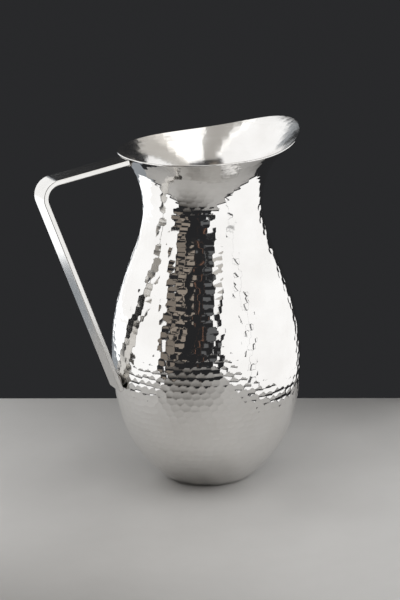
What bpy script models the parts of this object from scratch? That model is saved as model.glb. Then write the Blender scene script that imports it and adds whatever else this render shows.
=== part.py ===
"""Hammered metal water pitcher: bulb body, narrow neck, flared mouth with a raised pouring lip, flat bar handle.

Metres, +Z up. The origin is the centre of the flat bottom. +X points to the pouring lip, -X to the handle.
The sheet-metal body is drawn in two halves, a bowl and an upper shell, joined by a ring of weld metal that is
ground flush at the widest line. One flat bar, bent once, is welded under the rim and to the belly.
"""

import math

import bmesh
import bpy
from mathutils import Vector
from mathutils.geometry import interpolate_bezier

# Driving dimensions, in metres.
MM = 0.001
WALL = 1.0 * MM
GAP = 0.3 * MM                  # clearance that touching pieces keep
SEAM_HEIGHT = 90.0 * MM         # widest line of the belly, where the two halves meet
SEAM_WIDTH = 1.6 * MM

# Outer outline of the body from the flat bottom to the neck, as (radius, height).
BODY_OUTLINE = [
    (29.0 * MM, 0.0 * MM),
    (40.3 * MM, 10.0 * MM),
    (53.1 * MM, 27.0 * MM),
    (61.9 * MM, 53.0 * MM),
    (65.0 * MM, SEAM_HEIGHT),
    (61.4 * MM, 120.0 * MM),
    (51.5 * MM, 150.5 * MM),
    (43.45 * MM, 172.8 * MM),
    (40.65 * MM, 189.6 * MM),
]

# The mouth's edge and the metal's slope there go round the axis as short cosine series, in the angle
# from the pouring lip.
RIM_RADIUS_TERMS = (62.25 * MM, 5.06 * MM, -0.71 * MM, 0.47 * MM)
RIM_HEIGHT_TERMS = (231.76 * MM, 6.50 * MM, 3.08 * MM, 1.27 * MM, 0.52 * MM)
RIM_SLOPE_TERMS = (math.radians(37.9), math.radians(4.9), math.radians(-6.6))
FLARE_START_PULL = 0.54         # how long the flare stays upright above the neck, as part of its height
FLARE_END_PULL = 0.44           # how long it keeps the rim's slope, as part of its reach

# Handle: a flat bar. The corner is where the outer faces of its two arms would meet.
BAR_WIDTH = 19.5 * MM
BAR_THICKNESS = 3.3 * MM
BAR_EDGE_RADIUS = 0.5 * MM
BAR_CORNER = Vector((-119.8 * MM, 0.0, 216.6 * MM))
BAR_UPPER_END = Vector((-55.6 * MM, 0.0, 227.4 * MM))
BAR_LOWER_END = Vector((-67.6 * MM, 0.0, 70.3 * MM))
BEND_RADIUS = 12.0 * MM          # of the outer face

# Weld beads, as half sizes of a rounded bead before the bar and the body are trimmed from it.
UPPER_WELD_CENTRE = Vector((-53.4 * MM, 0.0, 223.9 * MM))
UPPER_WELD_SIZE = Vector((2.9 * MM, 8.4 * MM, 2.6 * MM))
LOWER_WELD_CENTRE = Vector((-66.0 * MM, 0.0, 75.8 * MM))
LOWER_WELD_SIZE = Vector((2.6 * MM, 8.4 * MM, 5.0 * MM))
BEAD_END = 2.5 * MM             # length of a bead's rounded end

ROUND_STEPS = 72
FLARE_RINGS = 8
SPAN_RINGS = 2                  # rings between two points of the body outline
BEND_STEPS = 8


def clear_scene():
    for item in list(bpy.data.objects):
        bpy.data.objects.remove(item, do_unlink=True)


def metal(name, colour, roughness):
    """Principled metal with one colour and roughness."""
    material = bpy.data.materials.new(name)
    material.use_nodes = True
    shader = material.node_tree.nodes["Principled BSDF"]
    shader.inputs["Base Color"].default_value = (*colour, 1.0)
    shader.inputs["Metallic"].default_value = 1.0
    shader.inputs["Roughness"].default_value = roughness
    material.diffuse_color = (*colour, 1.0)
    return material


def add_object(name, mesh_builder, material=None):
    """Turns a bmesh into a named, smooth-shaded object."""
    mesh = bpy.data.meshes.new(name)
    mesh_builder.to_mesh(mesh)
    mesh_builder.free()
    mesh.shade_smooth()
    mesh.set_sharp_from_angle(angle=math.radians(40))
    item = bpy.data.objects.new(name, mesh)
    bpy.context.scene.collection.objects.link(item)
    if material:
        mesh.materials.append(material)
    return item


def smooth_outline(points, steps):
    """Even curve through the outline's points, as Bezier spans that share a tangent at each point."""
    knots = [Vector((radius, height)) for radius, height in points]
    curve = [knots[0]]
    for index in range(len(knots) - 1):
        here, there = knots[index], knots[index + 1]
        reach = (there - here).length / 3
        start = tangent_at(knots, index) * reach
        end = tangent_at(knots, index + 1) * reach
        span = interpolate_bezier(here, here + start, there - end, there, steps + 1)
        curve.extend(span[1:])
    return curve


def tangent_at(knots, index):
    """Unit direction of the outline at one of its points."""
    if index == len(knots) - 1:
        return Vector((0.0, 1.0))
    if index == 0:
        leave = (knots[1] - knots[0]).normalized()
        across = (knots[2] - knots[1]).normalized()
        return (2 * leave - across).normalized()
    before = knots[index] - knots[index - 1]
    after = knots[index + 1] - knots[index]
    blended = before.normalized() * after.length + after.normalized() * before.length
    return blended.normalized()


def cosine_series(terms, angle):
    return sum(term * math.cos(order * angle) for order, term in enumerate(terms))


def flare_outline(angle):
    """Outline of the flare from the neck to the mouth's edge, at one angle from the pouring lip."""
    neck = Vector(BODY_OUTLINE[-1])
    edge = Vector((cosine_series(RIM_RADIUS_TERMS, angle), cosine_series(RIM_HEIGHT_TERMS, angle)))
    rise = edge.y - neck.y
    reach = edge.x - neck.x
    leave = neck + Vector((0.0, FLARE_START_PULL * rise))
    slope = cosine_series(RIM_SLOPE_TERMS, angle)
    arrive = edge - FLARE_END_PULL * reach * Vector((1.0, math.tan(slope)))
    return interpolate_bezier(neck, leave, arrive, edge, FLARE_RINGS + 1)[1:]


def ring_angles():
    return [2 * math.pi * step / ROUND_STEPS for step in range(ROUND_STEPS)]


def around(radius, height, angle):
    return Vector((radius * math.cos(angle), radius * math.sin(angle), height))


def add_rings(builder, rings):
    """Joins closed rings of points into a skin, and returns the rings' vertices."""
    rows = [[builder.verts.new(point) for point in ring] for ring in rings]
    for low, high in zip(rows, rows[1:]):
        for step in range(ROUND_STEPS):
            after = (step + 1) % ROUND_STEPS
            builder.faces.new((low[step], low[after], high[after], high[step]))
    return rows


def turned_rings(outline):
    return [[around(point.x, point.y, angle) for angle in ring_angles()] for point in outline]


def flare_rings():
    columns = [flare_outline(angle) for angle in ring_angles()]
    return [
        [around(column[row].x, column[row].y, angle) for column, angle in zip(columns, ring_angles())]
        for row in range(FLARE_RINGS)
    ]


def thicken_inwards(item):
    shell = item.modifiers.new("Wall", 'SOLIDIFY')
    shell.thickness = WALL
    shell.offset = -1.0
    shell.use_even_offset = True
    shell.use_rim = True


def point_at(curve, level):
    """Point of the outline at one height."""
    for below, above in zip(curve, curve[1:]):
        if level <= above.y:
            return below.lerp(above, (level - below.y) / (above.y - below.y))
    return curve[-1]


def cut_outline(low, high):
    """The part of the body outline between two heights, with a point exactly at each end."""
    curve = smooth_outline(BODY_OUTLINE, SPAN_RINGS)
    inside = [point for point in curve if low + GAP < point.y < high - GAP]
    return [point_at(curve, low), *inside, point_at(curve, high)]


def make_lower_bowl(material):
    """Drawn bowl: flat bottom, rising to just under the widest line."""
    builder = bmesh.new()
    top = SEAM_HEIGHT - SEAM_WIDTH / 2 - GAP
    rows = add_rings(builder, turned_rings(cut_outline(0.0, top)))
    bottom = bmesh.ops.contextual_create(builder, geom=rows[0])["faces"]
    bmesh.ops.poke(builder, faces=bottom)
    item = add_object("lower_bowl", builder, material)
    thicken_inwards(item)
    return item


def make_upper_shell(material):
    """Shoulder, neck, flared mouth and pouring lip in one sheet."""
    builder = bmesh.new()
    low = SEAM_HEIGHT + SEAM_WIDTH / 2 + GAP
    rings = turned_rings(cut_outline(low, BODY_OUTLINE[-1][1])) + flare_rings()
    add_rings(builder, rings)
    item = add_object("upper_shell", builder, material)
    thicken_inwards(item)
    return item


def make_belly_weld(material):
    """Ring of weld metal that fills the joint of the two halves, as thick as the wall."""
    builder = bmesh.new()
    half = SEAM_WIDTH / 2
    outline = cut_outline(SEAM_HEIGHT - half, SEAM_HEIGHT + half)
    add_rings(builder, turned_rings(outline))
    item = add_object("belly_weld", builder, material)
    thicken_inwards(item)
    return item


def make_body_clearance(name, gap):
    """Solid of the whole body's outside, grown by a gap: the tool that trims what touches the body."""
    builder = bmesh.new()
    outline = smooth_outline(BODY_OUTLINE, SPAN_RINGS)
    rows = add_rings(builder, turned_rings(outline) + flare_rings())
    bmesh.ops.contextual_create(builder, geom=rows[0])
    top = bmesh.ops.contextual_create(builder, geom=rows[-1])["faces"]
    bmesh.ops.poke(builder, faces=top)
    bmesh.ops.recalc_face_normals(builder, faces=builder.faces)
    item = add_object(name, builder)
    item.data.update()
    grow_mesh(item.data, gap)
    hide_tool(item)
    return item


def grow_mesh(mesh, gap):
    normals = [vertex.normal.copy() for vertex in mesh.vertices]
    for vertex, normal in zip(mesh.vertices, normals):
        vertex.co += normal * gap


def hide_tool(item):
    item.hide_render = True
    item.display_type = 'WIRE'


def bar_outline(inset):
    """Side view of the bent bar in the XZ plane, outer face first; a negative inset makes it fatter."""
    upper = (BAR_UPPER_END - BAR_CORNER).normalized()
    lower = (BAR_LOWER_END - BAR_CORNER).normalized()
    half_angle = upper.angle(lower) / 2
    centre = BAR_CORNER + (upper + lower).normalized() * (BEND_RADIUS / math.sin(half_angle))
    under = (lower - upper * lower.dot(upper)).normalized()
    inward = (upper - lower * upper.dot(lower)).normalized()
    turn = math.pi - 2 * half_angle
    angles = [turn * step / BEND_STEPS for step in range(BEND_STEPS + 1)]
    spokes = [-under * math.cos(angle) - upper * math.sin(angle) for angle in angles]
    outer_radius = BEND_RADIUS - inset
    inner_radius = BEND_RADIUS - BAR_THICKNESS + inset
    far = BAR_THICKNESS - inset
    upper_end = BAR_UPPER_END - upper * inset
    lower_end = BAR_LOWER_END - lower * inset
    outer = [centre + spoke * outer_radius for spoke in spokes]
    inner = [centre + spoke * inner_radius for spoke in reversed(spokes)]
    ends = [lower_end + inward * inset, lower_end + inward * far]
    return [upper_end + under * inset, *outer, *ends, *inner, upper_end + under * far]


def make_bar_solid(name, inset=0.0):
    """The bar's side view, extruded across its width."""
    builder = bmesh.new()
    half = BAR_WIDTH / 2 - inset
    side = [builder.verts.new(point - Vector((0.0, half, 0.0))) for point in bar_outline(inset)]
    face = builder.faces.new(side)
    extruded = bmesh.ops.extrude_face_region(builder, geom=[face])["geom"]
    moved = [element for element in extruded if isinstance(element, bmesh.types.BMVert)]
    bmesh.ops.translate(builder, verts=moved, vec=(0.0, 2 * half, 0.0))
    bmesh.ops.recalc_face_normals(builder, faces=builder.faces)
    return add_object(name, builder)


def trim(item, tool):
    cut = item.modifiers.new("Trim " + tool.name, 'BOOLEAN')
    cut.operation = 'DIFFERENCE'
    cut.solver = 'EXACT'
    cut.object = tool


def make_handle_bar(material, body_tool):
    """Bent flat bar with eased edges, its upper end trimmed to the flare."""
    item = make_bar_solid("handle_bar")
    item.data.materials.append(material)
    ease = item.modifiers.new("Eased edges", 'BEVEL')
    ease.width = BAR_EDGE_RADIUS
    ease.segments = 2
    ease.limit_method = 'ANGLE'
    ease.angle_limit = math.radians(60)
    trim(item, body_tool)
    return item


def make_weld(name, centre, size, material, tools):
    """Rounded bead of weld metal across the bar, trimmed clear of the bar and the body."""
    builder = bmesh.new()
    bmesh.ops.create_uvsphere(builder, u_segments=20, v_segments=10, radius=1.0)
    straight = size.y - BEAD_END
    for vertex in builder.verts:
        side = math.copysign(straight, vertex.co.y) if abs(vertex.co.y) > 0.01 else 0.0
        vertex.co = Vector((vertex.co.x * size.x, vertex.co.y * BEAD_END + side, vertex.co.z * size.z))
    item = add_object(name, builder, material)
    item.location = centre
    for tool in tools:
        trim(item, tool)
    return item


def main():
    clear_scene()
    polished = metal("polished_steel", (0.80, 0.79, 0.77), 0.06)
    satin = metal("satin_steel", (0.72, 0.71, 0.69), 0.28)
    weld = metal("weld_steel", (0.62, 0.61, 0.60), 0.32)
    make_lower_bowl(polished)
    make_upper_shell(polished)
    make_belly_weld(weld)
    body_tool = make_body_clearance("body_clearance", GAP)
    make_handle_bar(satin, body_tool)
    bar_tool = make_bar_solid("bar_clearance", -GAP)
    hide_tool(bar_tool)
    tools = [body_tool, bar_tool]
    make_weld("upper_handle_weld", UPPER_WELD_CENTRE, UPPER_WELD_SIZE, weld, tools)
    make_weld("lower_handle_weld", LOWER_WELD_CENTRE, LOWER_WELD_SIZE, weld, tools)


main()
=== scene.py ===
"""Looks of the hammered water pitcher: hammered mirror body, satin bar handle, weld beads and studio.

Lengths in the shape code are millimetres. Meshes are written in metres, in the CAD model's frame.
The studio's own sizes are metres.
"""

import math
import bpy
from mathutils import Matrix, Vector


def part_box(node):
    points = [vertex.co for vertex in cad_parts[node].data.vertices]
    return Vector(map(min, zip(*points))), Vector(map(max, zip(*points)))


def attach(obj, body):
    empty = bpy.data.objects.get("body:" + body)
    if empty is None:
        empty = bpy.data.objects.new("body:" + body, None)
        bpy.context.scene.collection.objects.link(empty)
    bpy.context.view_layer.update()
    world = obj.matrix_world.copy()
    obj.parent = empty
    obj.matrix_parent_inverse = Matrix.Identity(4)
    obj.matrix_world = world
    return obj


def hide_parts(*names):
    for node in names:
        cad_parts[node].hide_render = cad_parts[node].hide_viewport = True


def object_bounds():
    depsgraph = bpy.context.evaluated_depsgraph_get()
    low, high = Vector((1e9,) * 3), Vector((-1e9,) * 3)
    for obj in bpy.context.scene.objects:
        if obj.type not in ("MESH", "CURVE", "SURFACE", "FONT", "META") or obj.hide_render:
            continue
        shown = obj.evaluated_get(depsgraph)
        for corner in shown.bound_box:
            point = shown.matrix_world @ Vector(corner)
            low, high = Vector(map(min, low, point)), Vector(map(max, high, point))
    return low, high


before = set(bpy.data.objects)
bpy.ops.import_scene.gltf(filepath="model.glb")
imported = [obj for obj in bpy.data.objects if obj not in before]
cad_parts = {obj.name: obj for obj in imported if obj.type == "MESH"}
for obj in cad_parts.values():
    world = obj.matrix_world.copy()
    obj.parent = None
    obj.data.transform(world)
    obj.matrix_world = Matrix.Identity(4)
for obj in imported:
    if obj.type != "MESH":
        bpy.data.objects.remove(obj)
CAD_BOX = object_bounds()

from types import SimpleNamespace

import bmesh
import bpy
import numpy as np
from mathutils import Matrix, Vector

MM = 0.001
WALL = 1.0

# Body outline from the flat bottom to the neck as (radius, height), as in the CAD model.
BODY_OUTLINE = [
    (29.0, 0.0),
    (40.3, 10.0),
    (53.1, 27.0),
    (61.9, 53.0),
    (65.0, 90.0),
    (61.4, 120.0),
    (51.5, 150.5),
    (43.45, 172.8),
    (40.65, 189.6),
]
SEAM_KNOT = 4                   # outline point at the widest line, where the two halves meet
CURVE_STEPS = 80                # straight steps that stand for each smooth span of the outline
FLARE_CURVE_STEPS = 160
FOOT_START = 1.6                # the wall starts this far along the outline, after the rounded foot

# Flat rings of the bottom, outside and inside.
FOOT_RINGS = (1.0, 8.0, 16.0, 22.0, 27.4)
FOOT_CORNER = 28.9              # radius that the rounding of the foot reaches for
FOOT_ROUNDING = (0.2, 0.4, 0.6, 0.8)
INSIDE_RINGS = (27.6, 22.0, 14.0, 6.0, 1.0)

# Flared mouth as cosine series of the angle from the pouring lip.
RIM_RADIUS_TERMS = (62.25, 5.06, -0.71, 0.47)
RIM_HEIGHT_TERMS = (231.76, 6.50, 3.08, 1.27, 0.52)
RIM_SLOPE_TERMS = tuple(math.radians(term) for term in (37.9, 4.9, -6.6))
FLARE_START_PULL = 0.54
FLARE_END_PULL = 0.44

# Bar handle: lines of its outer faces in the side view.
BAR_CORNER = Vector((-119.8, 216.6))
BAR_UPPER_END = Vector((-55.6, 227.4))
BAR_LOWER_END = Vector((-67.6, 70.3))
BAR_WIDTH = 19.5
BAR_THICKNESS = 3.3
BAR_BEND = 12.3                 # outer radius of the bend
BAR_EDGE = 0.6                  # rounding of its long edges
BAR_FILED = 0.35                # depth of the filed edge at its two ends
FILED_CORNER = 0.3              # place of the filed edge's middle ring, as a share of that depth
CORNER_LEAN = 0.5               # how far its normals lean along the bar, and those of the end face
END_LEAN = 0.999
BAR_STEPS_UPPER = 25
BAR_STEPS_BEND = 24
BAR_STEPS_LOWER = 48
EDGE_TURN = 15                  # degrees between the points of a rounded edge
FACE_POINTS = (0.6, 0.3, 0.0, -0.3, -0.6)    # across its wide faces, in half widths

# Mesh density.
AROUND = 432
LOWER_ROWS = 142
UPPER_ROWS = 124
FLARE_ROWS = 54
RIM_STEPS = 6
INSIDE_SKIP_LOWER = 4           # the inside is smoother, so it uses only every fourth row of the bowl,
INSIDE_SKIP_UPPER = 8           # every eighth of the shoulder and neck
INSIDE_SKIP_FLARE = 2           # and every second of the flare
BOTTOM_ROW = 2                  # the inside of the wall stops above this row, where the flat bottom starts

# Hammer marks.
MARK_WIDTH = 6.3                # spacing round the body
MARK_ROW = 4.4                  # spacing of the rows along the outline
MARK_CUP_ROUND = 29.0           # radius of each shallow cup round the body
MARK_CUP_UP = 22.0              # and along the outline, where the marks are shorter
MARK_DEPTH = 0.24
MARK_BLEND = 0.006              # softness of the ridges between marks
FLARE_MARKS = 0.30              # how much of the hammering shows on the flared mouth
INSIDE_MARKS = 0.36             # how much of it shows through to the inside
INSIDE_MARKS_LEAST = 0.5        # the inside keeps at least this part of that where the outside fades
MARK_SHIFT = 0.38               # spread of the marks' places round the body and along the outline
MARK_RISE = 0.28
MARK_DEPTH_SPREAD = 0.012
MARK_CUP_RANGE = (0.75, 1.35)   # range of the cups' radii, as a factor
MARK_TILT = 0.0065              # spread of the hammer's tilt
MARK_TURN = 0.12                # irregular stagger of the rows
FEWEST_MARKS = 12
FIRST_ROW = 0.6                 # place of the lowest row, in rows
ROWS_NEAR = 2                   # rows on each side that can reach a point
WAVE_COUNT = 6                  # long shallow waves left in the sheet
WAVE_SIZE = 0.028
WAVES_ROUND = (3, 13)           # range of whole waves round the body
WAVES_UP = (0.05, 0.22)         # range of radians for each millimetre along the outline
SKIN_CLEAR = 0.004              # the hammered skin stays this far below the smooth outline

# Fading of the hammering: two distances along the outline, and how much of it is left at each.
FOOT_FADE = ((FOOT_START, 4.0), (0.2, 1.0))
NECK_FADE = ((-1, 14), (1.0, FLARE_MARKS))      # distances from the neck
RIM_FADE = ((-5, -1), (1.0, 0.25))              # distances from the rim

# Weld beads.
BEAD_PUDDLES = 7
BEAD_AROUND = 28
BEAD_ALONG = 71
BEAD_RIPPLE = 0.10
BEAD_CREST = 0.7                # below 1, each puddle is fullest near its start
BEAD_WOBBLE = 0.05
BEAD_SWELL = 1.12               # about what ripple and wobble add, taken off the size again
BEAD_REACH = 0.98
BEAD_MERGE = 0.00001            # metres: the points of each end come together in one
BEAD_TAPER = 3.2                # how late the bead narrows towards its ends


# ---------------------------------------------------------------- outline of the body

def bezier(points, t):
    """Points of a cubic Bezier curve, where points is four arrays and t a column of parameters."""
    a, b, c, d = points
    s = 1 - t
    return s ** 3 * a + 3 * s * s * t * b + 3 * s * t * t * c + t ** 3 * d


def unit(vector):
    return vector / np.linalg.norm(vector, axis=-1, keepdims=True)


def tangent_at(knots, index):
    if index == len(knots) - 1:
        return np.array((0.0, 1.0))
    if index == 0:
        leave = unit(knots[1] - knots[0])
        across = unit(knots[2] - knots[1])
        return unit(2 * leave - across)
    before = knots[index] - knots[index - 1]
    after = knots[index + 1] - knots[index]
    return unit(unit(before) * np.linalg.norm(after) + unit(after) * np.linalg.norm(before))


def outline_part(first, last, rows, trim=0.0):
    """Evenly spaced outline points between two knots, leaving out the first trim millimetres."""
    knots = np.array(BODY_OUTLINE)
    t = np.linspace(0, 1, CURVE_STEPS + 1)[:, None]
    curve = []
    for index in range(first, last):
        here = knots[index]
        there = knots[index + 1]
        reach = np.linalg.norm(there - here) / 3
        leave = here + tangent_at(knots, index) * reach
        arrive = there - tangent_at(knots, index + 1) * reach
        span = bezier((here, leave, arrive, there), t)
        curve.append(span if index == first else span[1:])
    curve = np.concatenate(curve)
    steps = np.linalg.norm(np.diff(curve, axis=0), axis=1)
    along = np.concatenate(([0.0], np.cumsum(steps)))
    wanted = np.linspace(trim, along[-1], rows)
    radius = np.interp(wanted, along, curve[:, 0])
    height = np.interp(wanted, along, curve[:, 1])
    return np.stack((radius, height), axis=1), wanted


def cosine_series(terms, angle):
    return sum(term * np.cos(order * angle) for order, term in enumerate(terms))


def flare_outline(angle, rows, stop_short):
    """Outline points of the mouth as rows x angles x (radius, height), and their mean arc."""
    count = len(angle)
    neck = np.tile(np.array(BODY_OUTLINE[-1]), (count, 1))
    edge_radius = cosine_series(RIM_RADIUS_TERMS, angle)
    edge_height = cosine_series(RIM_HEIGHT_TERMS, angle)
    edge = np.stack((edge_radius, edge_height), axis=1)
    rise = edge[:, 1] - neck[:, 1]
    reach = edge[:, 0] - neck[:, 0]
    slope = np.tan(cosine_series(RIM_SLOPE_TERMS, angle))
    leave = neck + np.stack((np.zeros(count), FLARE_START_PULL * rise), axis=1)
    arrive = edge - np.stack((FLARE_END_PULL * reach, FLARE_END_PULL * reach * slope), axis=1)
    t = np.linspace(0, 1, FLARE_CURVE_STEPS + 1)[:, None, None]
    curve = bezier((neck, leave, arrive, edge), t)
    steps = np.linalg.norm(np.diff(curve, axis=0), axis=2)
    along = np.concatenate((np.zeros((1, count)), np.cumsum(steps, axis=0)))
    result = np.empty((rows, count, 2))
    for column in range(count):
        wanted = np.linspace(0, along[-1, column] - stop_short, rows + 1)[1:]
        result[:, column, 0] = np.interp(wanted, along[:, column], curve[:, column, 0])
        result[:, column, 1] = np.interp(wanted, along[:, column], curve[:, column, 1])
    mean_arc = np.linspace(0, along[-1].mean() - stop_short, rows + 1)[1:]
    return result, mean_arc


# ---------------------------------------------------------------- hammer marks

class Hammering:
    """Shallow overlapping cups in staggered rows, as left by a round-faced hammer."""

    def __init__(self, arcs, radii):
        generator = np.random.default_rng(11)
        self.arcs = arcs
        self.radii = radii
        self.rows = []
        arc = MARK_ROW * FIRST_ROW
        while arc < arcs[-1] + MARK_ROW:
            radius = float(np.interp(arc, arcs, radii))
            count = max(FEWEST_MARKS, round(2 * math.pi * radius / MARK_WIDTH))
            self.rows.append({
                "arc": arc,
                "count": count,
                "turn": 0.5 * (len(self.rows) % 2) + generator.uniform(-MARK_TURN, MARK_TURN),
                "shift": generator.normal(0, MARK_SHIFT, count) / radius,
                "rise": generator.normal(0, MARK_RISE, count),
                "depth": MARK_DEPTH + generator.normal(0, MARK_DEPTH_SPREAD, count),
                "cup": generator.uniform(*MARK_CUP_RANGE, count),
                "tilt_round": generator.normal(0, MARK_TILT, count),
                "tilt_up": generator.normal(0, MARK_TILT, count),
            })
            arc += MARK_ROW
        self.waves = []
        for _ in range(WAVE_COUNT):
            self.waves.append({
                "round": int(generator.integers(*WAVES_ROUND)),
                "up": generator.uniform(*WAVES_UP),
                "phase": generator.uniform(0, 2 * math.pi),
            })

    def at(self, angle, arc):
        """Height and its slopes, round the body and along the outline, for one row of points."""
        radius = float(np.interp(arc, self.arcs, self.radii))
        nearest = int(round((arc - self.rows[0]["arc"]) / MARK_ROW))
        heights = []
        rounds = []
        ups = []
        for number in range(nearest - ROWS_NEAR, nearest + ROWS_NEAR + 1):
            if number < 0 or number >= len(self.rows):
                continue
            row = self.rows[number]
            place = angle / (2 * math.pi) * row["count"] - row["turn"]
            for step in (-1, 0, 1):
                index = (np.round(place) + step).astype(int)
                mark = index % row["count"]
                centre = (index + row["turn"]) * 2 * math.pi / row["count"] + row["shift"][mark]
                across = (angle - centre) * radius
                along = arc - row["arc"] - row["rise"][mark]
                cup = row["cup"][mark]
                tilt_round = row["tilt_round"][mark]
                tilt_up = row["tilt_up"][mark]
                slope_across = across / (MARK_CUP_ROUND * cup)
                slope_along = along / (MARK_CUP_UP * cup)
                bowl = (across * slope_across + along * slope_along) / 2
                heights.append(bowl + tilt_round * across + tilt_up * along - row["depth"][mark])
                rounds.append(slope_across + tilt_round)
                ups.append(slope_along + tilt_up)
        heights = np.array(heights)
        lowest = heights.min(axis=0)
        share = np.exp((lowest - heights) / MARK_BLEND)
        share /= share.sum(axis=0)
        height = (share * heights).sum(axis=0)
        slope_round = (share * np.array(rounds)).sum(axis=0)
        slope_up = (share * np.array(ups)).sum(axis=0)
        for wave in self.waves:
            turn = wave["round"] * angle + wave["up"] * arc + wave["phase"]
            height = height + WAVE_SIZE * (np.cos(turn) - 1)
            slope_round = slope_round - WAVE_SIZE * wave["round"] / radius * np.sin(turn)
            slope_up = slope_up - WAVE_SIZE * wave["up"] * np.sin(turn)
        return np.minimum(height, -SKIN_CLEAR), slope_round, slope_up


# ---------------------------------------------------------------- mesh helpers

def link(piece):
    bpy.context.scene.collection.objects.link(piece)
    return piece


def mesh_piece(name, vertices, faces, normals, *materials):
    """A smooth object from points in millimetres and one normal for each point."""
    mesh = bpy.data.meshes.new(name)
    mesh.from_pydata((np.asarray(vertices) * MM).tolist(), [], faces)
    mesh.shade_smooth()
    mesh.normals_split_custom_set_from_vertices(unit(np.asarray(normals)).tolist())
    for material in materials:
        mesh.materials.append(material)
    return link(bpy.data.objects.new(name, mesh))


def use_second_material(piece, first_row, rows):
    """Gives the piece's second material to a number of rows of quads, from first_row on."""
    slots = np.zeros(len(piece.data.polygons), dtype=np.int32)
    slots[first_row * AROUND:(first_row + rows) * AROUND] = 1
    piece.data.polygons.foreach_set("material_index", slots)


def ring_faces(rows, around):
    """Quads between rows of points, each row closed on itself."""
    faces = []
    for row in range(rows - 1):
        low = row * around
        high = low + around
        for column in range(around):
            after = (column + 1) % around
            faces.append((low + column, low + after, high + after, high + column))
    return faces


# ---------------------------------------------------------------- body

def fade_along(arc, fade, start=0.0):
    distances, shares = fade
    return float(np.interp(arc - start, distances, shares))


def body_skin():
    """Rows of points of the whole body, outside and inside, with their normals."""
    angle = np.arange(AROUND) * 2 * math.pi / AROUND
    lower, lower_arc = outline_part(0, SEAM_KNOT, LOWER_ROWS, trim=FOOT_START)
    upper, upper_arc = outline_part(SEAM_KNOT, len(BODY_OUTLINE) - 1, UPPER_ROWS)
    flare, flare_arc = flare_outline(angle, FLARE_ROWS, stop_short=WALL / 2)
    turned = np.concatenate((lower, upper[1:]))
    turned = np.repeat(turned[:, None, :], AROUND, axis=1)
    outline = np.concatenate((turned, flare))
    seam_arc = lower_arc[-1]
    neck_arc = seam_arc + upper_arc[-1]
    arcs = np.concatenate((lower_arc, seam_arc + upper_arc[1:], neck_arc + flare_arc))
    radius = outline[..., 0]
    smooth = np.stack((radius * np.cos(angle), radius * np.sin(angle), outline[..., 1]), axis=2)
    round_way = unit(np.roll(smooth, -1, axis=1) - np.roll(smooth, 1, axis=1))
    up_way = unit(np.gradient(smooth, arcs, axis=0))
    normal = unit(np.cross(round_way, up_way))
    hammering = Hammering(arcs, radius.mean(axis=1))
    hammered = np.empty_like(smooth)
    bent = np.empty_like(smooth)
    bent_inside = np.empty_like(smooth)
    for row, arc in enumerate(arcs):
        height, slope_round, slope_up = hammering.at(angle, arc)
        fade = fade_along(arc, NECK_FADE, start=neck_arc)
        fade *= fade_along(arc, RIM_FADE, start=arcs[-1])
        fade *= fade_along(arc, FOOT_FADE)
        slope = slope_round[:, None] * round_way[row] + slope_up[:, None] * up_way[row]
        hammered[row] = smooth[row] + normal[row] * (height * fade)[:, None]
        bent[row] = unit(normal[row] - slope * fade)
        bent_inside[row] = -unit(normal[row] - slope * INSIDE_MARKS * max(fade, INSIDE_MARKS_LEAST))
    return SimpleNamespace(
        angle=angle, hammered=hammered, normal=normal, bent=bent, up_way=up_way,
        inner=smooth - normal * WALL, bent_inside=bent_inside,
    )


def circle(angle, radius, height):
    return np.stack((radius * np.cos(angle), radius * np.sin(angle), np.full_like(angle, height)), axis=1)


def disc_rows(angle, radii, height, upward):
    """Flat rings of points at one height, and their normals."""
    rows = [circle(angle, radius, height) for radius in radii]
    way = np.tile(np.array((0.0, 0.0, 1.0 if upward else -1.0)), (len(angle), 1))
    return rows, [way] * len(radii)


def outer_rows(skin, numbers):
    return [skin.hammered[row] for row in numbers], [skin.bent[row] for row in numbers]


def inner_rows(skin, numbers):
    return [skin.inner[row] for row in numbers], [skin.bent_inside[row] for row in numbers]


def foot_rows(skin):
    """Flat bottom and a small rounding up to the wall."""
    foot, normals = disc_rows(skin.angle, FOOT_RINGS, 0.0, upward=False)
    flat_edge = foot[-1]
    corner = circle(skin.angle, FOOT_CORNER, 0.0)
    down = normals[0]
    for t in FOOT_ROUNDING:
        foot.append((1 - t) ** 2 * flat_edge + 2 * t * (1 - t) * corner + t * t * skin.hammered[0])
        normals.append(unit(down * (1 - t) + skin.bent[0] * t))
    return foot, normals


def rim_rows(skin):
    """Rounded rim: a half circle across the wall, from the outer skin over to the inner one."""
    normal = skin.normal[-1]
    centre = skin.hammered[-1] - normal * (WALL / 2)
    rim = []
    normals = []
    for step in range(1, RIM_STEPS):
        turn = math.pi * step / RIM_STEPS
        way = normal * math.cos(turn) + skin.up_way[-1] * math.sin(turn)
        rim.append(centre + way * (WALL / 2))
        normals.append(way)
    return rim, normals


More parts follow.
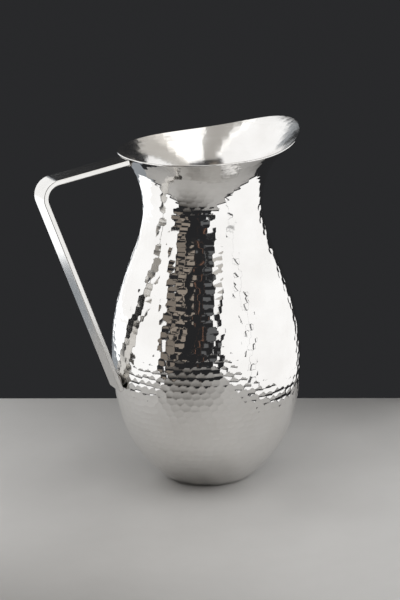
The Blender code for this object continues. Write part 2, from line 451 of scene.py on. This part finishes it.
def make_bowl(skin, *materials):
    """Lower piece: bottom, foot and wall up to the seam, then its inside down to the bottom again."""
    seam = LOWER_ROWS - 1
    foot, foot_normals = foot_rows(skin)
    wall, wall_normals = outer_rows(skin, range(seam + 1))
    inside, inside_normals = inner_rows(skin, range(seam, BOTTOM_ROW, -INSIDE_SKIP_LOWER))
    bottom, bottom_normals = disc_rows(skin.angle, INSIDE_RINGS, WALL, upward=True)
    rows = foot + wall + inside + bottom
    normals = foot_normals + wall_normals + inside_normals + bottom_normals

    points = np.concatenate(rows + [np.array([(0.0, 0.0, 0.0), (0.0, 0.0, WALL)])])
    ways = np.concatenate(normals + [np.array([(0.0, 0.0, -1.0), (0.0, 0.0, 1.0)])])
    faces = ring_faces(len(rows), AROUND)
    middle = len(rows) * AROUND
    last = (len(rows) - 1) * AROUND
    for column in range(AROUND):
        after = (column + 1) % AROUND
        faces.append((middle, after, column))
        faces.append((last + column, last + after, middle + 1))
    bowl = mesh_piece("hammered_bowl", points, faces, ways, *materials)
    use_second_material(bowl, len(foot) + seam, len(inside) + len(bottom))
    return bowl


def make_shell(skin, *materials):
    """Upper piece: wall from the seam to the rim, over it, and down its inside to the seam again."""
    seam = LOWER_ROWS - 1
    top = len(skin.hammered) - 1
    neck = top - FLARE_ROWS
    wall, wall_normals = outer_rows(skin, range(seam, top + 1))
    rim, rim_normals = rim_rows(skin)
    flare_down = list(range(top, neck, -INSIDE_SKIP_FLARE))
    neck_down = list(range(neck, seam, -INSIDE_SKIP_UPPER))
    inside, inside_normals = inner_rows(skin, flare_down + neck_down + [seam])
    rows = wall + rim + inside
    normals = wall_normals + rim_normals + inside_normals

    faces = ring_faces(len(rows), AROUND)
    last = (len(rows) - 1) * AROUND
    for column in range(AROUND):
        after = (column + 1) % AROUND
        faces.append((last + column, last + after, after, column))
    shell = mesh_piece("hammered_shell", np.concatenate(rows), faces, np.concatenate(normals), *materials)
    use_second_material(shell, top - seam + len(rim), len(inside))
    return shell


# ---------------------------------------------------------------- handle

def rounded_section():
    """Cross-section of the bar as (across, out) points with their normals, anticlockwise."""
    half_width = BAR_WIDTH / 2
    half_thick = BAR_THICKNESS / 2
    corners = ((1, 1, 0), (-1, 1, 90), (-1, -1, 180), (1, -1, 270))
    points = []
    for side_x, side_y, start in corners:
        for step in range(90 // EDGE_TURN + 1):
            turn = math.radians(start + EDGE_TURN * step)
            way = (math.cos(turn), math.sin(turn))
            x = side_x * (half_width - BAR_EDGE) + BAR_EDGE * way[0]
            y = side_y * (half_thick - BAR_EDGE) + BAR_EDGE * way[1]
            points.append((x, y, *way))
        if side_x == side_y:
            # A wide face starts at this corner.
            y = half_thick * side_y
            points += [(half_width * part * side_x, y, 0.0, side_y) for part in FACE_POINTS]
    return np.array(points)


def bar_path():
    """Centre line of the bar in the side view: point, direction and outward way at each step."""
    upper = (BAR_UPPER_END - BAR_CORNER).normalized()
    lower = (BAR_LOWER_END - BAR_CORNER).normalized()
    half = upper.angle(lower) / 2
    bend_centre = BAR_CORNER + (upper + lower).normalized() * (BAR_BEND / math.sin(half))
    out_upper = -(lower - upper * lower.dot(upper)).normalized()
    out_lower = -(upper - lower * upper.dot(lower)).normalized()
    turn = math.pi - 2 * half
    middle = BAR_BEND - BAR_THICKNESS / 2
    start = BAR_UPPER_END - out_upper * (BAR_THICKNESS / 2)
    end = BAR_LOWER_END - out_lower * (BAR_THICKNESS / 2)
    bend_start = bend_centre + out_upper * middle
    bend_end = bend_centre + out_lower * middle
    steps = []
    for part in np.linspace(0, 1, BAR_STEPS_UPPER + 1)[:-1]:
        steps.append((start.lerp(bend_start, float(part)), -upper, out_upper))
    for part in np.linspace(0, 1, BAR_STEPS_BEND + 1):
        angle = turn * float(part)
        out = out_upper * math.cos(angle) - upper * math.sin(angle)
        way = -upper * math.cos(angle) - out_upper * math.sin(angle)
        steps.append((bend_centre + out * middle, way, out))
    for part in np.linspace(0, 1, BAR_STEPS_LOWER + 1)[1:]:
        steps.append((bend_end.lerp(end, float(part)), lower, out_lower))
    return steps


def make_handle(material):
    """Flat bar swept along its centre line, with rounded long edges and filed square ends."""
    section = rounded_section()
    outline = section[:, :2]
    girths = np.cumsum(np.linalg.norm(np.diff(outline, axis=0, prepend=outline[:1]), axis=1))
    path = bar_path()
    count = len(section)
    points = []
    normals = []
    lengths = []
    travelled = 0.0

    def add_ring(step, inset=0.0, shift=0.0, cap=0.0):
        """One section, drawn in by inset and moved by shift. Its normals lean along the bar by cap."""
        place, way, out = step
        sideways = 1 - abs(cap)
        for (x, y, nx, ny), girth in zip(section, girths):
            across = x - math.copysign(inset, x) if abs(x) > inset else 0.0
            outward = y - math.copysign(min(inset, abs(y)), y)
            spot = place + out * outward + way * shift
            normal = out * ny * sideways + way * cap
            points.append((spot.x, across, spot.y))
            normals.append((normal.x, nx * sideways, normal.y))
            lengths.append((girth, travelled))

    first = path[0]
    last = path[-1]
    corner = BAR_FILED * FILED_CORNER
    add_ring(first, inset=BAR_FILED, cap=-END_LEAN)
    add_ring(first, inset=corner, shift=corner, cap=-CORNER_LEAN)
    add_ring(first, shift=BAR_FILED)
    previous = first[0] + first[1] * BAR_FILED
    for step in path[1:-1]:
        travelled += (step[0] - previous).length
        previous = step[0]
        add_ring(step)
    travelled += (last[0] - previous).length
    add_ring(last, shift=-BAR_FILED)
    add_ring(last, inset=corner, shift=-corner, cap=CORNER_LEAN)
    add_ring(last, inset=BAR_FILED, cap=END_LEAN)

    ring_count = len(points) // count
    faces = [face[::-1] for face in ring_faces(ring_count, count)]
    faces.append(tuple(range(count)))
    faces.append(tuple(range(len(points) - 1, len(points) - count - 1, -1)))
    piece = mesh_piece("satin_bar", np.array(points), faces, np.array(normals), material)
    mesh = piece.data
    grain = mesh.uv_layers.new(name="grain")
    for loop in mesh.loops:
        across, along = lengths[loop.vertex_index]
        grain.data[loop.index].uv = (across * MM, along * MM)
    return piece


# ---------------------------------------------------------------- weld beads

def make_bead(name, node, fullness, material):
    """A short run of overlapping weld puddles that fills the corner where the CAD bead lies."""
    low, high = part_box(node)
    centre = (low + high) / 2 / MM
    half = (high - low) / 2 / MM
    half_x = half.x * fullness
    half_y = half.y * fullness
    half_z = half.z * fullness
    generator = np.random.default_rng(5)
    wobble = generator.normal(0, BEAD_WOBBLE, BEAD_PUDDLES)
    rows = []
    for step in range(BEAD_ALONG):
        place = -1 + 2 * step / (BEAD_ALONG - 1)
        part = (place + 1) / 2 * BEAD_PUDDLES
        puddle = min(int(part), BEAD_PUDDLES - 1)
        inside = part - puddle
        crest = math.sin(math.pi * inside ** BEAD_CREST)
        ripple = 1 + BEAD_RIPPLE * crest + wobble[puddle] * math.sin(math.pi * inside)
        size = math.sqrt(max(0.0, 1 - abs(place) ** BEAD_TAPER)) * ripple / BEAD_SWELL
        row = []
        for turn in np.arange(BEAD_AROUND) * 2 * math.pi / BEAD_AROUND:
            x = half_x * size * math.cos(turn)
            z = half_z * size * math.sin(turn)
            row.append((centre.x + x, centre.y + half_y * place * BEAD_REACH, centre.z + z))
        rows.append(row)
    points = np.array(rows).reshape(-1, 3)
    faces = [face[::-1] for face in ring_faces(BEAD_ALONG, BEAD_AROUND)]
    mesh = bpy.data.meshes.new(name)
    mesh.from_pydata((points * MM).tolist(), [], faces)
    shape = bmesh.new()
    shape.from_mesh(mesh)
    bmesh.ops.remove_doubles(shape, verts=shape.verts, dist=BEAD_MERGE)
    bmesh.ops.recalc_face_normals(shape, faces=shape.faces)
    shape.to_mesh(mesh)
    shape.free()
    mesh.shade_smooth()
    mesh.materials.append(material)
    return link(bpy.data.objects.new(name, mesh))


# ---------------------------------------------------------------- materials

STEEL_DARK = (0.80, 0.785, 0.765)
STEEL_LIGHT = (0.86, 0.85, 0.835)


class Nodes:
    """Small helper that adds nodes to a material and links their sockets."""

    def __init__(self, name):
        self.material = bpy.data.materials.new(name)
        self.material.use_nodes = True
        self.tree = self.material.node_tree
        self.tree.nodes.clear()
        self.output = self.add("ShaderNodeOutputMaterial")
        self.shader = self.add("ShaderNodeBsdfPrincipled")
        self.join(self.shader, "BSDF", self.output, "Surface")

    def add(self, kind, **values):
        node = self.tree.nodes.new(kind)
        for key, value in values.items():
            if key in node.inputs:
                node.inputs[key].default_value = value
            else:
                setattr(node, key, value)
        return node

    def join(self, source, output, target, slot):
        self.tree.links.new(source.outputs[output], target.inputs[slot])

    def noise(self, source, output, stretch, detail=3.0, roughness=0.5):
        mapping = self.add("ShaderNodeMapping", Scale=stretch)
        self.join(source, output, mapping, "Vector")
        noise = self.add("ShaderNodeTexNoise", Scale=1.0, Detail=detail, Roughness=roughness)
        self.join(mapping, "Vector", noise, "Vector")
        return noise

    def span(self, source, output, low, high, out_low, out_high):
        node = self.add("ShaderNodeMapRange")
        node.inputs["From Min"].default_value = low
        node.inputs["From Max"].default_value = high
        node.inputs["To Min"].default_value = out_low
        node.inputs["To Max"].default_value = out_high
        self.join(source, output, node, "Value")
        return node

    def ramp(self, source, output, stops):
        node = self.add("ShaderNodeValToRGB")
        node.color_ramp.elements[0].position = stops[0][0]
        node.color_ramp.elements[0].color = (*stops[0][1], 1.0)
        node.color_ramp.elements[1].position = stops[-1][0]
        node.color_ramp.elements[1].color = (*stops[-1][1], 1.0)
        for place, colour in stops[1:-1]:
            element = node.color_ramp.elements.new(place)
            element.color = (*colour, 1.0)
        self.join(source, output, node, "Fac")
        return node

    def bump(self, source, output, distance, before=None):
        node = self.add("ShaderNodeBump", Distance=distance, Strength=1.0)
        self.join(source, output, node, "Height")
        if before is not None:
            self.join(before, "Normal", node, "Normal")
        return node


def metal(name):
    nodes = Nodes(name)
    nodes.shader.inputs["Metallic"].default_value = 1.0
    return nodes


def polished_steel():
    """Mirror-polished sheet with faint polishing rings, light smears and small changes of tone."""
    nodes = metal("polished_steel_look")
    shader = nodes.shader
    place = nodes.add("ShaderNodeTexCoord")
    clouds = nodes.noise(place, "Object", (28, 28, 40), detail=4.0)
    tone = nodes.ramp(clouds, "Fac", ((0.35, STEEL_DARK), (0.65, STEEL_LIGHT)))
    nodes.join(tone, "Color", shader, "Base Color")
    smears = nodes.noise(place, "Object", (60, 60, 25), detail=6.0, roughness=0.65)
    haze = nodes.span(smears, "Fac", 0.35, 0.75, 0.035, 0.085)
    nodes.join(haze, "Result", shader, "Roughness")
    rings = nodes.noise(place, "Object", (6, 6, 2600), detail=2.0)
    pits = nodes.noise(place, "Object", (900, 900, 900), detail=2.0)
    first = nodes.bump(rings, "Fac", 0.0000012)
    second = nodes.bump(pits, "Fac", 0.0000020, before=first)
    nodes.join(second, "Normal", shader, "Normal")
    return nodes.material


def brushed_inside():
    """Inside of the vessel: polished with a turning pad, so it has fine rings and softer reflections."""
    nodes = metal("ringed_steel_look")
    shader = nodes.shader
    place = nodes.add("ShaderNodeTexCoord")
    clouds = nodes.noise(place, "Object", (35, 35, 60), detail=4.0)
    tone = nodes.ramp(clouds, "Fac", ((0.35, STEEL_DARK), (0.65, STEEL_LIGHT)))
    nodes.join(tone, "Color", shader, "Base Color")
    streaks = nodes.noise(place, "Object", (25, 25, 900), detail=4.0, roughness=0.6)
    haze = nodes.span(streaks, "Fac", 0.3, 0.7, 0.12, 0.21)
    nodes.join(haze, "Result", shader, "Roughness")
    rings = nodes.noise(place, "Object", (30, 30, 1100), detail=3.0)
    rise = nodes.bump(rings, "Fac", 0.00003)
    nodes.join(rise, "Normal", shader, "Normal")
    return nodes.material


def satin_steel():
    """Bar ground with a belt along its length: fine grain, soft reflections, a few deeper scratches."""
    nodes = metal("satin_steel_look")
    shader = nodes.shader
    grain_map = nodes.add("ShaderNodeUVMap", uv_map="grain")
    grain = nodes.noise(grain_map, "UV", (2800, 40, 1), detail=2.0, roughness=0.5)
    patches = nodes.noise(grain_map, "UV", (90, 30, 1), detail=3.0)
    tone = nodes.ramp(patches, "Fac", ((0.3, (0.74, 0.73, 0.71)), (0.7, (0.82, 0.81, 0.79))))
    nodes.join(tone, "Color", shader, "Base Color")
    rough = nodes.span(grain, "Fac", 0.3, 0.7, 0.13, 0.22)
    nodes.join(rough, "Result", shader, "Roughness")
    scratches = nodes.noise(grain_map, "UV", (1500, 14, 1), detail=1.0)
    deep = nodes.span(scratches, "Fac", 0.62, 0.75, 0.0, 1.0)
    first = nodes.bump(grain, "Fac", 0.0000010)
    second = nodes.bump(deep, "Result", 0.0000025, before=first)
    nodes.join(second, "Normal", shader, "Normal")
    return nodes.material


def weld_steel():
    """Weld metal left as laid: duller, grainy, with a faint straw and blue heat tint."""
    nodes = metal("weld_steel_look")
    shader = nodes.shader
    place = nodes.add("ShaderNodeTexCoord")
    tint = nodes.noise(place, "Object", (300, 500, 300), detail=3.0)
    stops = ((0.3, (0.50, 0.44, 0.36)), (0.5, (0.62, 0.60, 0.57)), (0.7, (0.46, 0.49, 0.55)))
    tone = nodes.ramp(tint, "Fac", stops)
    nodes.join(tone, "Color", shader, "Base Color")
    grit = nodes.noise(place, "Object", (3500, 3500, 3500), detail=3.0)
    rough = nodes.span(grit, "Fac", 0.3, 0.7, 0.32, 0.55)
    nodes.join(rough, "Result", shader, "Roughness")
    rise = nodes.bump(grit, "Fac", 0.00005)
    nodes.join(rise, "Normal", shader, "Normal")
    return nodes.material


def floor_paint():
    nodes = Nodes("floor_look")
    shader = nodes.shader
    place = nodes.add("ShaderNodeTexCoord")
    mottle = nodes.noise(place, "Object", (14, 14, 14), detail=6.0, roughness=0.6)
    tone = nodes.ramp(mottle, "Fac", ((0.3, (0.56, 0.55, 0.535)), (0.7, (0.61, 0.60, 0.585))))
    nodes.join(tone, "Color", shader, "Base Color")
    rough = nodes.span(mottle, "Fac", 0.3, 0.7, 0.55, 0.7)
    nodes.join(rough, "Result", shader, "Roughness")
    return nodes.material


# ---------------------------------------------------------------- studio

VIEW_TURN = math.radians(-23.0)          # the camera stands this far round from the side view
VIEW_DOWN = math.radians(14.739)
VIEW_ROLL = math.radians(-1.398)
CAMERA_PLACE = Vector((-0.5355, -1.2528, 0.4822))
CAMERA_LENS = 124.03
STUDIO = Matrix.Rotation(VIEW_TURN, 4, "Z")

FLOOR_SIZE = Vector((0.46, 0.62, 0.04))
FLOOR_SKEW = 0.078                       # turns the back edge level in the camera's view
FLOOR_EDGE = 0.006
FLOOR_PLACE = Vector((-0.045, -0.13))
FLOOR_GAP = 0.0001

WARM = (1.0, 0.96, 0.9)
WORLD_COLOUR = (0.022, 0.0225, 0.024, 1.0)

# Small dim cards in front: their broken images fill the dark middle of the body.
CARD_LEVELS = 3
CARD_STEP = 0.29
CARD_LOWEST = 0.06
FRONT_CARD_REACH = 0.73
FRONT_CARDS = ((46.0, 0.0, 0.20), (31.0, 0.13, 0.30))    # degrees to the left, rise, radiance
FRONT_CARD_SIZE = (0.18, 0.17)
FRONT_CARD_COLOUR = (1.0, 0.85, 0.70)
SIDE_CARD_RISE = 0.09


def make_camera():
    data = bpy.data.cameras.new("camera")
    data.lens = CAMERA_LENS
    data.sensor_width = 36.0
    data.clip_start = 0.05
    data.clip_end = 30.0
    camera = link(bpy.data.objects.new("camera", data))
    tilt = Matrix.Rotation(math.pi / 2 - VIEW_DOWN, 4, "X")
    roll = Matrix.Rotation(VIEW_ROLL, 4, "Z")
    camera.matrix_world = Matrix.Translation(CAMERA_PLACE) @ STUDIO @ tilt @ roll
    bpy.context.scene.camera = camera


def make_panel(name, place, facing, size, radiance, colour=(1.0, 1.0, 1.0)):
    """A soft panel. Place and facing are in the studio's frame, where the camera looks along +Y."""
    data = bpy.data.lights.new(name, "AREA")
    data.shape = "RECTANGLE"
    data.size = size[0]
    data.size_y = size[1]
    data.energy = radiance * math.pi * size[0] * size[1]
    data.color = colour
    lamp = link(bpy.data.objects.new(name, data))
    aim = Vector(facing).to_track_quat("-Z", "Y").to_matrix().to_4x4()
    lamp.matrix_world = STUDIO @ Matrix.Translation(Vector(place)) @ aim
    lamp.visible_camera = False


def make_floor():
    """Pale slab with softened edges, whose top is just under the object's lowest level."""
    mesh = bpy.data.meshes.new("floor")
    shape = bmesh.new()
    bmesh.ops.create_cube(shape, size=1.0)
    bmesh.ops.scale(shape, vec=FLOOR_SIZE, verts=shape.verts)
    for vertex in shape.verts:
        if vertex.co.y > 0:
            vertex.co.y -= FLOOR_SKEW * vertex.co.x
    bmesh.ops.bevel(shape, geom=shape.edges[:], offset=FLOOR_EDGE, segments=5, affect="EDGES")
    shape.to_mesh(mesh)
    shape.free()
    mesh.shade_smooth()
    mesh.materials.append(floor_paint())
    floor = link(bpy.data.objects.new("floor", mesh))
    height = CAD_BOX[0].z - FLOOR_SIZE.z / 2 - FLOOR_GAP
    floor.matrix_world = STUDIO @ Matrix.Translation((FLOOR_PLACE.x, FLOOR_PLACE.y, height))


def make_world():
    world = bpy.data.worlds.new("studio")
    world.use_nodes = True
    background = world.node_tree.nodes["Background"]
    background.inputs["Color"].default_value = WORLD_COLOUR
    background.inputs["Strength"].default_value = 1.0
    bpy.context.scene.world = world


def make_side_panels():
    """Large white panels that the body's two sides mirror, and dimmer ones behind for the handle."""
    make_panel("left_panel", place=(-0.28, 0.215, 0.355), facing=(1, 0, 0), size=(0.87, 0.70), radiance=1.1)
    make_panel(
        "left_back_panel", place=(-0.28, 0.80, 0.305), facing=(1, 0, 0), size=(0.28, 0.60),
        radiance=0.32, colour=(0.88, 0.94, 1.0),
    )
    make_panel(
        "left_low_panel", place=(-0.55, 0.75, -0.20), facing=(1, -0.6, 0.3), size=(0.9, 0.50),
        radiance=0.32, colour=(0.86, 0.93, 1.0),
    )
    for name, along, length in (("right_panel_front", -0.42, 0.50), ("right_panel_back", 0.00, 0.325)):
        make_panel(name, place=(0.19, along, 0.205), facing=(-1, 0, 0), size=(length, 0.40), radiance=1.1)
    make_panel(
        "right_high_panel", place=(0.19, -0.20, 0.55), facing=(-1, 0, 0), size=(0.92, 0.28),
        radiance=0.55, colour=WARM,
    )


def make_top_panels():
    """Panels overhead, which light the floor and the inside of the mouth."""
    make_panel("top_panel", place=(0.09, -0.20, 0.80), facing=(0, 0, -1), size=(0.34, 0.60), radiance=1.0)
    make_panel(
        "ceiling_panel", place=(-0.05, 0.0, 0.86), facing=(0, 0, -1), size=(0.80, 1.0),
        radiance=0.42, colour=WARM,
    )


def make_cards():
    """Warm cards to the left of the camera, cool ones to the right, and a thin orange strip between."""
    for level in range(CARD_LEVELS):
        height = CARD_LOWEST + CARD_STEP * level
        for side, (turn, rise, radiance) in enumerate(FRONT_CARDS):
            way = Vector((math.sin(math.radians(turn)), math.cos(math.radians(turn)), 0.0))
            place = way * -FRONT_CARD_REACH + Vector((0.0, 0.0, height + rise))
            name = f"front_card_{level}_{side}"
            make_panel(name, place, way, FRONT_CARD_SIZE, radiance, FRONT_CARD_COLOUR)
        make_panel(
            f"side_card_{level}", place=(0.055, -0.60, height + SIDE_CARD_RISE), facing=(0, 1, 0),
            size=(0.12, 0.13), radiance=0.11, colour=(0.95, 0.98, 1.0),
        )
    make_panel(
        "front_strip", place=(-0.075, -0.60, 0.28), facing=(0, 1, 0), size=(0.004, 0.50),
        radiance=0.35, colour=(1.0, 0.5, 0.3),
    )


def make_studio():
    make_camera()
    make_world()
    make_floor()
    make_side_panels()
    make_top_panels()
    make_cards()
    bpy.context.scene.view_settings.view_transform = "Standard"


# ---------------------------------------------------------------- build

mirror = polished_steel()
ringed = brushed_inside()
satin = satin_steel()
weld = weld_steel()

body = body_skin()
bowl = make_bowl(body, mirror, ringed)
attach(bowl, "root")
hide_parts("lower_bowl", "belly_weld")

shell = make_shell(body, mirror, ringed)
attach(shell, "root")
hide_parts("upper_shell")

bar = make_handle(satin)
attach(bar, "root")
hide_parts("handle_bar")

for bead_name, bead_node, fullness in (
    ("rim_bead", "upper_handle_weld", 0.80),
    ("belly_bead", "lower_handle_weld", 0.95),
):
    bead = make_bead(bead_name, bead_node, fullness, weld)
    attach(bead, "root")
    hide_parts(bead_node)

make_studio()

bpy.context.view_layer.update()
